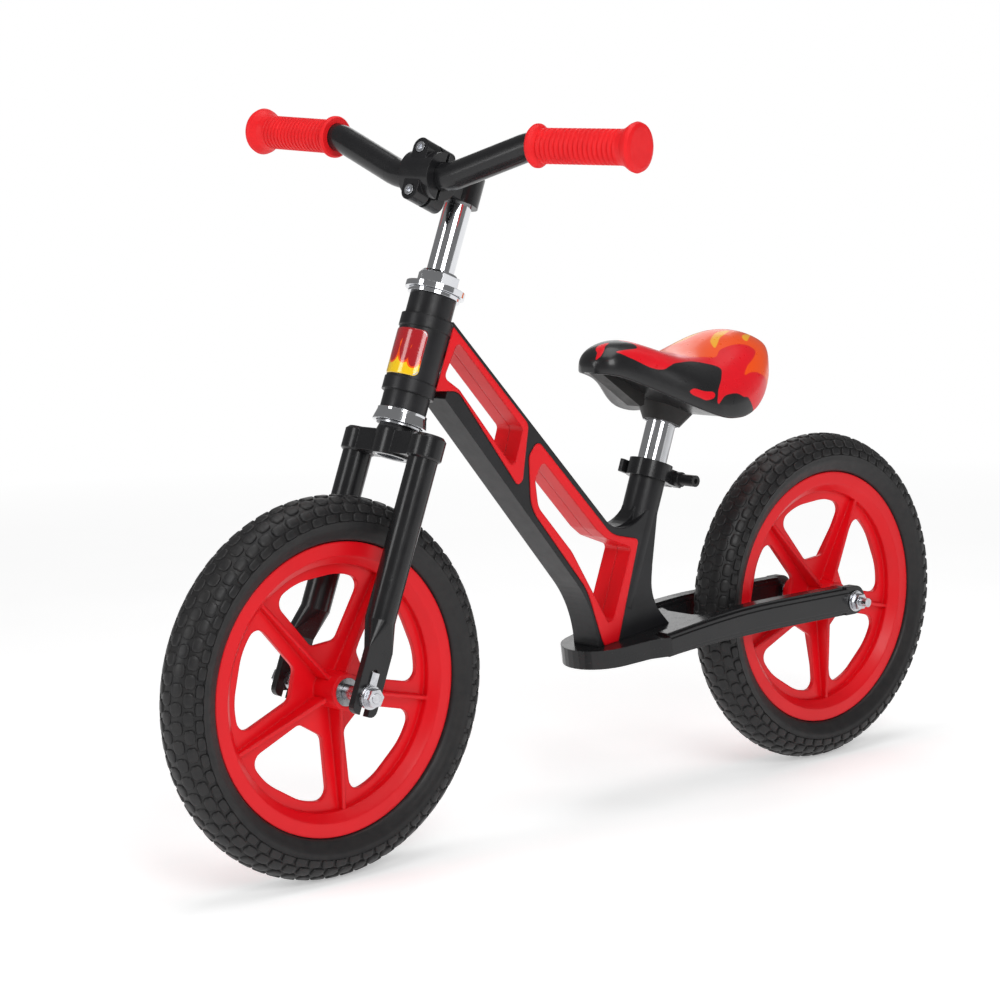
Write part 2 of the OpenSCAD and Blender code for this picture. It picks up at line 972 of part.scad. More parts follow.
// Sealed ball bearings, one in each end of the hub
module wheel_bearings(x) {
    color(chrome)
        in_wheel(x)
            for (side = [1, -1])
                translate([0, 0, side * (hub_w / 2 - bearing_w / 2) - bearing_w / 2])
                    difference() {
                        cylinder(r = bearing_r, h = bearing_w);
                        translate([0, 0, -1])
                            cylinder(r = axle_d / 2 + 0.03, h = bearing_w + 2);
                    }
}

module front_wheel_bearings() {
    wheel_bearings(front_x);
}

module rear_wheel_bearings() {
    wheel_bearings(rear_x);
}

// ---------- stem ----------

clamp_r = 19;
clamp_w = 30;
clamp_bore_r = bar_d / 2 + 0.05;
post_bottom_s = 262;
post_top_s = 409;
bolt_offset = 17.5;
boss_r = 7.8;
clamp_split = 1.5;

module in_stem() {
    steering(stem_turn)
        children();
}

module in_clamp() {
    in_stem()
        translate([stem_reach, 0, stem_s])
            children();
}

module across_clamp(len) {
    rotate([90, 0, 0])
        translate([0, 0, -len / 2])
            children();
}

module stem_post() {
    color(chrome)
        in_stem()
            difference() {
                translate([0, 0, post_bottom_s])
                    cylinder(r = post_r, h = post_top_s - post_bottom_s);
                translate([0, 0, post_bottom_s - 1])
                    cylinder(r = 8.5, h = 138);
                translate([0, 0, post_bottom_s - 1])
                    cylinder(r = 4.1, h = post_top_s - post_bottom_s + 2);
            }
}

module clamp_body() {
    across_clamp(clamp_w)
        cylinder(r = clamp_r, h = clamp_w);
    for (side = [1, -1]) {
        translate([-clamp_r + 2, 0, side * bolt_offset])
            rotate([0, 90, 0])
                cylinder(r = boss_r, h = 2 * clamp_r - 4);
        translate([-clamp_r + 2, -boss_r, side * bolt_offset / 2 - bolt_offset / 2])
            cube([2 * clamp_r - 4, 2 * boss_r, bolt_offset]);
    }
}

module clamp_cuts() {
    across_clamp(clamp_w + 2)
        cylinder(r = clamp_bore_r, h = clamp_w + 2);
}

module bolt_holes(r) {
    for (side = [1, -1])
        translate([-clamp_r, 0, side * bolt_offset])
            rotate([0, 90, 0])
                cylinder(r = r, h = 2 * clamp_r + 4);
}

module stem_body() {
    color(gloss_black)
        difference() {
            union() {
                in_clamp()
                    difference() {
                        clamp_body();
                        translate([-clamp_split, -60, -60])
                            cube([120, 120, 120]);
                    }
                in_stem() {
                    translate([0, 0, stem_s - 9])
                        cylinder(r = 15.8, h = 24);
                    translate([-6, -11, stem_s - 8])
                        cube([stem_reach - 6, 22, 20]);
                }
            }
            in_clamp() {
                clamp_cuts();
                bolt_holes(2.5);
            }
            in_stem()
                translate([0, 0, 380])
                    cylinder(r = post_r, h = post_top_s - 380);
            in_stem()
                translate([0, 0, 400])
                    cylinder(r = 4.1, h = 20);
            in_stem()
                translate([0, 0, post_top_s + 3])
                    cylinder(r = 7.2, h = 20);
        }
}

module stem_cap() {
    color(gloss_black)
        in_clamp()
            difference() {
                intersection() {
                    clamp_body();
                    translate([clamp_split, -60, -60])
                        cube([120, 120, 120]);
                }
                clamp_cuts();
                bolt_holes(2.7);
                for (side = [1, -1])
                    translate([clamp_r - 6, 0, side * bolt_offset])
                        rotate([0, 90, 0])
                            cylinder(r = 4.6, h = 20);
            }
}

module stem_bolts() {
    color(chrome)
        in_clamp()
            for (side = [1, -1])
                translate([0, 0, side * bolt_offset])
                    rotate([0, 90, 0])
                        difference() {
                            union() {
                                translate([0, 0, -14])
                                    cylinder(r = 2.5, h = 14 + clamp_r - 5);
                                translate([0, 0, clamp_r - 6])
                                    cylinder(r = 4.2, h = 5);
                            }
                            translate([0, 0, clamp_r - 3.5])
                                cylinder(r = 2.3, h = 5, $fn = 6);
                        }
}

// Slanted wedge that locks the post inside the steerer
module stem_wedge() {
    color(chrome)
        in_stem()
            difference() {
                translate([0, 0, post_bottom_s - 26])
                    cylinder(r = post_r - 0.1, h = 25.5);
                translate([0, 0, post_bottom_s - 27])
                    cylinder(r = 4, h = 30);
            }
}

module stem_expander_bolt() {
    color(chrome)
        in_stem()
            difference() {
                union() {
                    translate([0, 0, post_bottom_s - 30])
                        cylinder(r = 4, h = post_top_s - post_bottom_s + 34);
                    translate([0, 0, post_top_s + 3])
                        cylinder(r = 6.5, h = 6.5);
                }
                translate([0, 0, post_top_s + 6])
                    cylinder(r = 3.4, h = 6, $fn = 6);
            }
}

// ---------- handlebar ----------

// Bends of the left half, in the clamp frame: ahead, sideways, upwards
bar_bend_1 = [0, 27, 0];
bar_bend_2 = [2.3, 99.5, bar_rise];
grip_dir = [-sin(3.7), cos(3.7), tan(2.6)];
bar_end = bar_bend_2 + grip_dir * (bar_half - 5 - bar_bend_2[1]);
bend_r = 42;

function mirrored(p, side) = [p[0], side * p[1], p[2]];

bar_path = [
    mirrored(bar_end, -1), mirrored(bar_bend_2, -1), mirrored(bar_bend_1, -1),
    bar_bend_1, bar_bend_2, bar_end
];

module in_bar() {
    in_clamp()
        translate([0, bar_offset, 0])
            children();
}

// Puts the origin at p with the Z axis along d
module facing(p, d) {
    translate(p)
        rotate([0, acos(d[2] / norm(d)), atan2(d[1], d[0])])
            children();
}

function turn_at(path, i) = acos(unit(path[i] - path[i - 1]) * unit(path[i + 1] - path[i]));
function trim_at(path, i) =
    i == 0 || i == len(path) - 1 ? 0 : bend_r * tan(turn_at(path, i) / 2);

// Elbow of a bent tube at corner i of its path
module elbow(path, i, r) {
    d = unit(path[i] - path[i - 1]);
    w = unit(cross(d, unit(path[i + 1] - path[i])));
    inward = cross(w, d);
    c = path[i] - d * trim_at(path, i) + inward * bend_r;
    multmatrix([
        [-inward[0], d[0], w[0], c[0]],
        [-inward[1], d[1], w[1], c[1]],
        [-inward[2], d[2], w[2], c[2]],
        [0, 0, 0, 1]])
        rotate_extrude(angle = turn_at(path, i))
            translate([bend_r, 0])
                circle(r = r, $fn = 48);
}

// Tube along a path; its straights run a little way into its elbows
module bent_tube(path, r) {
    for (i = [0:len(path) - 2]) {
        d = unit(path[i + 1] - path[i]);
        a = path[i] + d * (trim_at(path, i) - (i > 0 ? 0.5 : 0));
        b = path[i + 1] - d * (trim_at(path, i + 1) - (i < len(path) - 2 ? 0.5 : 0));
        facing(a, d)
            cylinder(r = r, h = norm(b - a));
    }
    for (i = [1:len(path) - 2])
        elbow(path, i, r - 0.05);
}

module handlebar() {
    color(gloss_black)
        in_bar()
            bent_tube(bar_path, bar_d / 2);
}

module grip_frame(side) {
    in_bar()
        facing(mirrored(bar_bend_2, side), mirrored(grip_dir, side))
            children();
}

grip_body_r = 13.6;
grip_ribs = 17;
rib_h = 1.5;

// Ribbed rubber grip with a flange at each end, closed at the outer end
module grip(side) {
    start = bar_half - grip_len - bar_bend_2[1] + 0.5;
    color(red)
        grip_frame(side)
                translate([0, 0, start])
                    rotate_extrude()
                        polygon(concat(
                            [[bar_d / 2 + 0.02, 0], [15.5, 0], [16.8, 1.8], [16.8, 3.4], [15.2, 5.6]],
                            [for (i = [0:grip_ribs - 1]) each
                                let(z = 8 + i * (grip_len - 22) / grip_ribs)
                                [[grip_body_r - rib_h, z], [grip_body_r, z + 1], [grip_body_r, z + 3]]],
                            [[15, grip_len - 11], [18.2, grip_len - 6], [19, grip_len - 3.5],
                             [18, grip_len - 1], [15, grip_len], [0, grip_len], [0, grip_len - 4.5],
                             [bar_d / 2 + 0.02, grip_len - 4.5]]));
}

module left_grip() {
    grip(1);
}

module right_grip() {
    grip(-1);
}

// ---------- saddle ----------

post_top = 63;
post_inside = 72;
saddle_front_x = 1.5;

module seat_post() {
    color(chrome)
        seat_frame()
            difference() {
                translate([0, 0, -post_inside])
                    cylinder(r = seat_post_d / 2, h = post_inside + post_top);
                translate([0, 0, -post_inside - 1])
                    cylinder(r = seat_post_d / 2 - 1.6, h = post_inside + post_top - 5);
            }
}

// Saddle shape at the fraction t of its length, 0 at the nose and 1 at the tail
function ease(a, b, t) = let(k = max(0, min(1, (t - a) / (b - a)))) k * k * (3 - 2 * k);
function quarter(k) = sqrt(max(0, 1 - pow(1 - min(1, k), 2)));
function half_width(t) =
    (24 + (saddle_w / 2 - 24) * ease(0.08, 0.5, t)) * quarter(t / 0.11)
    * quarter((1 - t) / 0.45);
function top_z(t) =
    378 + 22 * quarter(t / 0.155) - 14 * ease(0.16, 0.47, t) + 16 * ease(0.47, 0.8, t)
    - 13 * pow(max(0, t - 0.8) / 0.2, 2);
function edge_z(t) = 376 - 43 * ease(0, 0.58, t) + 56 * pow(max(0, t - 0.6) / 0.4, 2);

// Ring of a saddle cross-section: a flat-bottomed dome
ring_n = 20;
function saddle_ring(t, drop, inset, sink) =
    let(w = max(1, half_width(t) - inset), zt = top_z(t) - drop, ze = min(edge_z(t), zt - 1) - sink)
    [for (i = [0:ring_n]) let(a = 180 * i / ring_n)
        [saddle_front_x - saddle_len * t, w * cos(a), ze + (zt - ze) * pow(sin(a), 0.7)]];

module saddle_loft(t0, t1, steps, drop, inset, sink = 0) {
    rings = [for (j = [0:steps]) saddle_ring(t0 + (t1 - t0) * j / steps, drop, inset, sink)];
    m = ring_n + 1;
    points = [for (r = rings) each r];
    sides = [for (j = [0:steps - 1]) for (i = [0:ring_n - 1]) each
        [[j * m + i, j * m + i + 1, (j + 1) * m + i + 1], [j * m + i, (j + 1) * m + i + 1, (j + 1) * m + i]]];
    floor = [for (j = [0:steps - 1]) each
        [[j * m, (j + 1) * m, (j + 1) * m + ring_n], [j * m, (j + 1) * m + ring_n, j * m + ring_n]]];
    front = [for (i = [1:ring_n - 1]) [0, i + 1, i]];
    back = [for (i = [1:ring_n - 1]) [steps * m, steps * m + i, steps * m + i + 1]];
    polyhedron(points = points, faces = concat(sides, floor, front, back));
}

module saddle_pad() {
    color(red)
        difference() {
            saddle_loft(0.006, 0.994, 26, 0, 0);
            saddle_loft(0.03, 0.97, 26, 12, 3, 4);
            seat_frame()
                translate([0, 0, 10])
                    cylinder(r = 17, h = 55);
        }
}

// Plastic pan under the pad, with the tapered socket for the post
module saddle_shell() {
    color(satin_black)
        difference() {
            union() {
                saddle_loft(0.03 + 0.94 / 26, 0.97 - 0.94 / 26, 24, 14, 6);
                seat_frame()
                    translate([0, 0, 43])
                        cylinder(r1 = 16.5, r2 = 32, h = 26);
                side_plate(-8, 8)
                    polygon([[-8, 374], [-53.7, 342.6], [-58, 344], [-60, 372]]);
            }
            seat_frame()
                translate([0, 0, 20])
                    cylinder(r = seat_post_d / 2, h = 43);
        }
}

module saddle_screws() {
    color(chrome)
        seat_frame()
            translate([0, 0, 43])
                for (a = [45:90:315])
                    rotate([0, 0, a])
                        translate([14.6, 0, -1])
                            cylinder(r = 1.4, h = 1);
}

frame_casting();
front_insert_left();
front_insert_right();
rear_insert_left();
rear_insert_right();
head_badge();
upper_cup();
lower_cup();
upper_bearing();
lower_bearing();
foot_plate();
left_stay();
right_stay();
plate_bolts();
seat_collar();
collar_skewer();
collar_nut();
quick_release_lever();
rear_axle();
rear_axle_nuts();
rear_locknuts();
fork_crown();
left_fork_leg();
right_fork_leg();
steerer_tube();
crown_race();
headset_washer();
headset_locknut();
front_axle();
front_axle_nuts();
front_tab_washers();
front_locknuts();
front_rim();
front_tyre();
front_wheel_bearings();
rear_rim();
rear_tyre();
rear_wheel_bearings();
stem_post();
stem_body();
stem_cap();
stem_bolts();
stem_wedge();
stem_expander_bolt();
handlebar();
left_grip();
right_grip();
seat_post();
saddle_shell();
saddle_pad();
saddle_screws();
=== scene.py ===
"""A child's balance bike on a pale studio floor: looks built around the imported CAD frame."""

import json
import math

import bmesh
import bpy
import numpy as np
from mathutils import Matrix, Vector

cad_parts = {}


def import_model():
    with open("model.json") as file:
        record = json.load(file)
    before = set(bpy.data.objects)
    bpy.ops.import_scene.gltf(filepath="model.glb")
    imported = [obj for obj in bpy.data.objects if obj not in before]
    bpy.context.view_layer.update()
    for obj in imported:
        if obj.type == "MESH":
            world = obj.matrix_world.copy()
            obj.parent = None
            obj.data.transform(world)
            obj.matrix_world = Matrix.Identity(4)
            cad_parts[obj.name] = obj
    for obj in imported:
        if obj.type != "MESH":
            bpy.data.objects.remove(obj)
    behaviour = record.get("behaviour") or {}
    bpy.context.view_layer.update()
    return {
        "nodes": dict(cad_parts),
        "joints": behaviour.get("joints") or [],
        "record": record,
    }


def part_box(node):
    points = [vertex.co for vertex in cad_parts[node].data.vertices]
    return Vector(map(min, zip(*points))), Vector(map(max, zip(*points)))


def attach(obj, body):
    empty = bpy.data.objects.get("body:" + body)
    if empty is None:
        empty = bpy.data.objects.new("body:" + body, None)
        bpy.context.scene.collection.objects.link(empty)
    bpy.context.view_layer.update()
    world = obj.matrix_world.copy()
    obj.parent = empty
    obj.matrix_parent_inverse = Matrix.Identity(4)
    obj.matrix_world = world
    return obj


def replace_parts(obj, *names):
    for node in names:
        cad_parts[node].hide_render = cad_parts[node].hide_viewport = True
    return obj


MM = 0.001

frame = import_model()
nodes = frame["nodes"]
joints = {j["name"]: j for j in frame["joints"]}


# ---------- mesh helpers ----------

def unit(v):
    v = np.asarray(v, float)
    return v / np.linalg.norm(v)


def grid_faces(rows, columns, wrap_rows=False, wrap_columns=False, first=0):
    """Quads over a grid of points stored row by row."""
    faces = []
    for i in range(rows if wrap_rows else rows - 1):
        for j in range(columns if wrap_columns else columns - 1):
            a = i * columns + j
            b = i * columns + (j + 1) % columns
            c = (i + 1) % rows * columns + (j + 1) % columns
            d = (i + 1) % rows * columns + j
            faces.append((first + a, first + b, first + c, first + d))
    return faces


def new_piece(name, points, faces, body, slot, sharp=40):
    """A closed mesh that rides on a CAD body and wears the material of a record slot."""
    mesh = bpy.data.meshes.new(name)
    mesh.from_pydata([tuple(p) for p in points], [], faces)
    tidy = bmesh.new()
    tidy.from_mesh(mesh)
    bmesh.ops.recalc_face_normals(tidy, faces=tidy.faces)
    tidy.to_mesh(mesh)
    tidy.free()
    mesh.polygons.foreach_set("use_smooth", [True] * len(mesh.polygons))
    mesh.set_sharp_from_angle(angle=math.radians(sharp))
    piece = bpy.data.objects.new(name, mesh)
    bpy.context.scene.collection.objects.link(piece)
    mesh.materials.append(materials[slot])
    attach(piece, body)
    return piece


def set_float(piece, name, values):
    """Stores one number per vertex, which the material reads as an attribute."""
    layer = piece.data.attributes.new(name, "FLOAT", "POINT")
    layer.data.foreach_set("value", np.asarray(values, np.float32))


def smooth_outline(points, steps=8):
    """Closed Catmull-Rom curve through a few points."""
    p = np.asarray(points, float)
    before, after, beyond = np.roll(p, 1, 0), np.roll(p, -1, 0), np.roll(p, -2, 0)
    curve = []
    for i in range(steps):
        t = i / steps
        curve.append(0.5 * (2 * p + (after - before) * t
                            + (2 * before - 5 * p + 4 * after - beyond) * t ** 2
                            + (3 * p - before - 3 * after + beyond) * t ** 3))
    return np.stack(curve, 1).reshape(-1, 2)


def distance_inside(points, outline):
    """Distance from each 2-D point to a closed outline, positive inside it."""
    starts, ends = outline, np.roll(outline, -1, 0)
    nearest = np.full(len(points), 1e9)
    winding = np.zeros(len(points), int)
    for a, b in zip(starts, ends):
        edge = b - a
        share = np.clip((points - a) @ edge / max(edge @ edge, 1e-12), 0, 1)
        nearest = np.minimum(nearest, np.linalg.norm(points - a - share[:, None] * edge, axis=1))
        crosses = (a[1] > points[:, 1]) != (b[1] > points[:, 1])
        rise = edge[1] if abs(edge[1]) > 1e-12 else 1e-12
        passed = crosses & (points[:, 0] < a[0] + (points[:, 1] - a[1]) * edge[0] / rise)
        winding += np.where(passed, 1 if rise > 0 else -1, 0)
    return np.where(winding != 0, nearest, -nearest)


# ---------- materials ----------

def new_material(name):
    material = bpy.data.materials.new(name)
    material.use_nodes = True
    tree = material.node_tree
    return material, tree, tree.nodes["Principled BSDF"]


def noise(tree, scale, detail=4, roughness=0.55):
    node = tree.nodes.new("ShaderNodeTexNoise")
    node.inputs["Scale"].default_value = scale
    node.inputs["Detail"].default_value = detail
    node.inputs["Roughness"].default_value = roughness
    where = tree.nodes.new("ShaderNodeTexCoord")
    tree.links.new(where.outputs["Object"], node.inputs["Vector"])
    return node.outputs["Fac"]


def remap(tree, value, low, high, from_low=0.3, from_high=0.7):
    node = tree.nodes.new("ShaderNodeMapRange")
    node.inputs["From Min"].default_value = from_low
    node.inputs["From Max"].default_value = from_high
    node.inputs["To Min"].default_value = low
    node.inputs["To Max"].default_value = high
    tree.links.new(value, node.inputs["Value"])
    return node.outputs["Result"]


def mix(tree, share, a, b):
    """Mixes two colours, each a colour or a socket, by a socket's share."""
    node = tree.nodes.new("ShaderNodeMix")
    node.data_type = "RGBA"
    tree.links.new(share, node.inputs[0])
    for socket, value in ((node.inputs[6], a), (node.inputs[7], b)):
        if isinstance(value, tuple):
            socket.default_value = (*value, 1)
        else:
            tree.links.new(value, socket)
    return node.outputs[2]


def add_bump(tree, shader, heights, soft_edge):
    """Stacks bumps, each (height socket, strength, distance), on softened edges."""
    normal = None
    if soft_edge:
        bevel = tree.nodes.new("ShaderNodeBevel")
        bevel.samples = 4
        bevel.inputs["Radius"].default_value = soft_edge
        normal = bevel.outputs["Normal"]
    for height, strength, distance in heights:
        bump = tree.nodes.new("ShaderNodeBump")
        bump.inputs["Strength"].default_value = strength
        bump.inputs["Distance"].default_value = distance
        tree.links.new(height, bump.inputs["Height"])
        if normal:
            tree.links.new(normal, bump.inputs["Normal"])
        normal = bump.outputs["Normal"]
    tree.links.new(normal, shader.inputs["Normal"])


def worn_surface(name, colour, other, roughness, grain, soft_edge=0.0, metallic=0.0, coat=0.0,
                 patch_scale=45, grain_depth=0.00004, grain_strength=0.25, specular=0.3):
    """Two close colours in patches, roughness that varies between two values, and a fine grain."""
    material, tree, shader = new_material(name)
    patches = noise(tree, patch_scale)
    tree.links.new(mix(tree, remap(tree, patches, 0, 1), colour, other), shader.inputs["Base Color"])
    tree.links.new(remap(tree, noise(tree, patch_scale * 2.3), *roughness), shader.inputs["Roughness"])
    shader.inputs["Metallic"].default_value = metallic
    shader.inputs["Specular IOR Level"].default_value = specular
    shader.inputs["Coat Weight"].default_value = coat
    shader.inputs["Coat Roughness"].default_value = 0.08
    add_bump(tree, shader, [(noise(tree, grain, 3), grain_strength, grain_depth)], soft_edge)
    return material


VINYL_BLACK = (0.012, 0.012, 0.013)
FLAME_RED = (0.80, 0.004, 0.014)
FLAME_ORANGE = (0.92, 0.085, 0.003)
FLAME_YELLOW = (0.92, 0.42, 0.008)
LABEL_YELLOW = (0.92, 0.58, 0.005)


def layer_share(tree, attribute, edge):
    """0 outside a printed area and 1 inside it, from the distance stored on the mesh."""
    read = tree.nodes.new("ShaderNodeAttribute")
    read.attribute_name = attribute
    return remap(tree, read.outputs["Fac"], 0, 1, -edge, edge)


def printed_surface(name, base, layers, edge, roughness, coat, grain, grain_depth):
    """A base colour with printed areas over it, one stored distance each."""
    material, tree, shader = new_material(name)
    colour = mix(tree, remap(tree, noise(tree, 60), 0, 1), base, tuple(c * 0.9 for c in base))
    for attribute, tone in layers:
        colour = mix(tree, layer_share(tree, attribute, edge), colour, tone)
    tree.links.new(colour, shader.inputs["Base Color"])
    tree.links.new(remap(tree, noise(tree, 130), *roughness), shader.inputs["Roughness"])
    shader.inputs["Specular IOR Level"].default_value = 0.35
    shader.inputs["Coat Weight"].default_value = coat
    shader.inputs["Coat Roughness"].default_value = 0.1
    add_bump(tree, shader, [(noise(tree, grain, 2), 0.25, grain_depth)], 0)
    return material


materials = {
    "cast_black": worn_surface("satin_cast_paint", (0.011, 0.011, 0.012), (0.016, 0.016, 0.018),
                               (0.30, 0.40), 900, soft_edge=0.0016, grain_depth=0.00006),
    "gloss_black": worn_surface("gloss_black_enamel", (0.010, 0.010, 0.011), (0.014, 0.014, 0.015),
                                (0.20, 0.28), 500, soft_edge=0.0010, coat=0.12),
    "lever_black": worn_surface("moulded_black", (0.015, 0.015, 0.016), (0.022, 0.022, 0.023),
                                (0.3, 0.42), 1100, soft_edge=0.0006),
    "red_plastic": worn_surface("red_moulded_plastic", (0.80, 0.003, 0.010), (0.72, 0.003, 0.009),
                                (0.30, 0.40), 1300, soft_edge=0.0022, patch_scale=14,
                                grain_depth=0.00003),
    "grip_rubber": worn_surface("red_soft_rubber", (0.84, 0.008, 0.012), (0.74, 0.006, 0.010),
                                (0.46, 0.60), 1500, soft_edge=0.0004, patch_scale=60,
                                grain_depth=0.00006),
    "chrome": worn_surface("chrome_plate", (0.80, 0.81, 0.83), (0.72, 0.73, 0.76), (0.05, 0.11),
                           260, soft_edge=0.0004, metallic=1.0, grain_depth=0.00001,
                           specular=0.5),
    "zinc_steel": worn_surface("zinc_plated_steel", (0.66, 0.67, 0.69), (0.48, 0.49, 0.52),
                               (0.16, 0.32), 900, soft_edge=0.0004, metallic=1.0, patch_scale=160),
    "bearing_steel": worn_surface("bearing_steel", (0.34, 0.35, 0.36), (0.20, 0.20, 0.21),
                                  (0.2, 0.34), 700, soft_edge=0.0003, metallic=1.0,
                                  patch_scale=200),
    "tyre_foam": worn_surface("black_foam_tyre", (0.014, 0.014, 0.015), (0.022, 0.021, 0.021),
                              (0.36, 0.50), 1600, patch_scale=110, grain_depth=0.00012),
    "saddle_pan": worn_surface("grained_black_plastic", (0.010, 0.009, 0.009), (0.015, 0.014, 0.013),
                               (0.42, 0.55), 1900, soft_edge=0.0008, grain_depth=0.00010,
                               grain_strength=0.4),
    "saddle_vinyl": printed_surface(
        "flame_vinyl", FLAME_RED,
        [("orange", FLAME_ORANGE), ("yellow", FLAME_YELLOW), ("black", VINYL_BLACK)],
        0.25, (0.26, 0.36), 0.25, 1400, 0.00004),
    "badge_film": printed_surface(
        "flame_label", VINYL_BLACK,
        [("flame", FLAME_RED), ("warm", FLAME_ORANGE), ("hot", LABEL_YELLOW),
         ("trim", (0.55, 0.56, 0.58))],
        0.12, (0.12, 0.2), 1.0, 700, 0.00001),
}

for part in frame["record"]["subparts"]:
    node = nodes[part["node"]]
    node.data.materials.clear()
    node.data.materials.append(materials[part["material_slot"]])


# ---------- tyres ----------

TREAD_CENTRE_R = 126 * MM
TYRE_SEAT_R = 107.5 * MM
BEAD_ANGLE = 133.7
TREAD_EDGE = 78
LUGS_AROUND = 64
CROWN_DEPTH = 1.2 * MM
SHOULDER_DEPTH = 1.9 * MM
SIDE_DEPTH = 1.7 * MM
WALL_DEPTH = 0.5 * MM


def tyre_reach(angle):
    """Distance from the section's centre out to the tyre's surface, by angle from the crown."""
    turn = [0, 52, 69.5, 87.4, 104, 121, BEAD_ANGLE]
    reach = [24, 24, 22.85, 22.0, 20.1, 19.3, 15.9]
    return np.interp(np.abs(angle), turn, reach) * MM


def wheel_point(centre, around, angle, depth):
    """Point at an angle around the wheel and across its section, in degrees."""
    reach = tyre_reach(angle) - depth
    r = TREAD_CENTRE_R + reach * np.cos(np.radians(angle))
    a = np.radians(around)
    return np.stack([centre.x + r * np.cos(a), centre.y + reach * np.sin(np.radians(angle)) + 0 * r,
                     centre.z + r * np.sin(a)], -1)


def carcass(centre, count=192):
    """The ring under the lugs, with a low ridge where the tread ends."""
    wall = np.linspace(TREAD_EDGE, BEAD_ANGLE, 16)
    across = np.concatenate([-wall[::-1], np.linspace(-75, 75, 37), wall])
    depth = np.interp(np.abs(across), [30, 38, 60, 76, TREAD_EDGE, 79, 82],
                      [CROWN_DEPTH, SHOULDER_DEPTH, SIDE_DEPTH, SIDE_DEPTH, 0, 0, WALL_DEPTH])
    around = np.linspace(0, 360, count, endpoint=False)
    a, b = np.meshgrid(around, across, indexing="ij")
    ring = wheel_point(centre, a, b, np.broadcast_to(depth, b.shape))
    side = ring[:, [-1, 0], 1] - centre.y
    turn = np.radians(around)[:, None]
    seat = np.stack([centre.x + TYRE_SEAT_R * np.cos(turn) + 0 * side, centre.y + side,
                     centre.z + TYRE_SEAT_R * np.sin(turn) + 0 * side], -1)
    points = np.concatenate([ring, seat], 1)
    return points.reshape(-1, 3), grid_faces(count, points.shape[1], True, True)


def lug(centre, around, across, half_along, half_across, depth, power):
    """One rounded block standing on the carcass."""
    turns = np.radians(np.arange(16) * 22.5 + 11.25)
    shape_x = np.sign(np.cos(turns)) * np.abs(np.cos(turns)) ** (2 / power)
    shape_y = np.sign(np.sin(turns)) * np.abs(np.sin(turns)) ** (2 / power)
    rings = []
    for scale, sink in ((1.10, 1.3), (1.05, 0.55), (0.97, 0.14), (0.84, 0.0), (0.42, 0.0)):
        along = np.degrees(shape_x * half_along * scale / (TREAD_CENTRE_R + 20 * MM))
        over = np.degrees(shape_y * half_across * scale / (24 * MM))
        rings.append(wheel_point(centre, around + along, across + over, sink * depth))
    points = np.concatenate(rings)
    faces = grid_faces(len(rings), 16, wrap_columns=True)
    faces.append(tuple(range(16)))
    faces.append(tuple(range(16 * (len(rings) - 1), 16 * len(rings))))
    return points, faces


LUG_ROWS = [
    # across in degrees, stagger, half length, half width, depth, squareness
    (0, 0.0, 5.0, 4.7, CROWN_DEPTH, 2.8),
    (24, 0.5, 5.1, 4.6, CROWN_DEPTH, 2.8),
    (48.5, 0.0, 5.6, 4.2, SHOULDER_DEPTH, 3.2),
    (69, 0.5, 5.3, 3.3, SIDE_DEPTH, 4.5),
]


def tyre(name, node, body, joint):
    centre = Vector(joints[joint]["pos_m"])
    points, faces = carcass(centre)
    chunks, all_faces, count = [points], list(faces), len(points)
    for across, stagger, half_along, half_across, depth, power in LUG_ROWS:
        for side in (1, -1) if across else (1,):
            for i in range(LUGS_AROUND):
                around = (i + stagger) * 360 / LUGS_AROUND
                points, faces = lug(centre, around, side * across, half_along * MM,
                                    half_across * MM, depth, power)
                chunks.append(points)
                all_faces += [tuple(k + count for k in f) for f in faces]
                count += len(points)
    piece = new_piece(name, np.concatenate(chunks), all_faces, body, "tyre_foam", sharp=50)
    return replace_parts(piece, node)


tyre("front_tyre_tread", "front_tyre", "front_wheel", "front_wheel_spin")
tyre("rear_tyre_tread", "rear_tyre", "rear_wheel", "rear_wheel_spin")


# ---------- saddle ----------

pad_low, pad_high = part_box("saddle_pad")
SADDLE_LEN = (pad_high.x - pad_low.x) / 0.988
SADDLE_FRONT = pad_high.x + 0.006 * SADDLE_LEN
SADDLE_TOP = pad_high.z
HALF_SADDLE = pad_high.y


def ease(a, b, t):
    k = np.clip((t - a) / (b - a), 0, 1)
    return k * k * (3 - 2 * k)


def quarter(k):
    """A quarter circle's height, from 0 at k = 0 to 1 at k = 1."""
    return np.sqrt(np.maximum(0, 1 - (1 - np.minimum(1, k)) ** 2))


def saddle_width(t):
    nose = 24 * MM
    return ((nose + (HALF_SADDLE * 1.03 - nose) * ease(0.08, 0.5, t)) * quarter(t / 0.11)
            * quarter((1 - t) / 0.45))


def saddle_crest(t):
    return SADDLE_TOP + MM * (-24 + 22 * quarter(t / 0.155) - 14 * ease(0.16, 0.47, t)
                              + 16 * ease(0.47, 0.8, t) - 13 * (np.maximum(0, t - 0.8) / 0.2) ** 2)


def saddle_edge(t):
    return SADDLE_TOP + MM * (-26 - 43 * ease(0, 0.58, t) + 56 * (np.maximum(0, t - 0.6) / 0.4) ** 2)


def saddle_dome(t, s):
    """Point of the cover at t along it, 0 at the nose, and s across it, 0 at the rider's left."""
    width = np.maximum(1 * MM, saddle_width(t))
    top = saddle_crest(t)
    low = np.minimum(saddle_edge(t), top - 1 * MM)
    a = math.pi * s
    height = low + (top - low) * np.sin(a) ** 0.7
    return np.stack([SADDLE_FRONT - SADDLE_LEN * t + 0 * a, width * np.cos(a), height], -1)


def mirrored(points):
    return [(t, 1 - s) for t, s in reversed(points)]


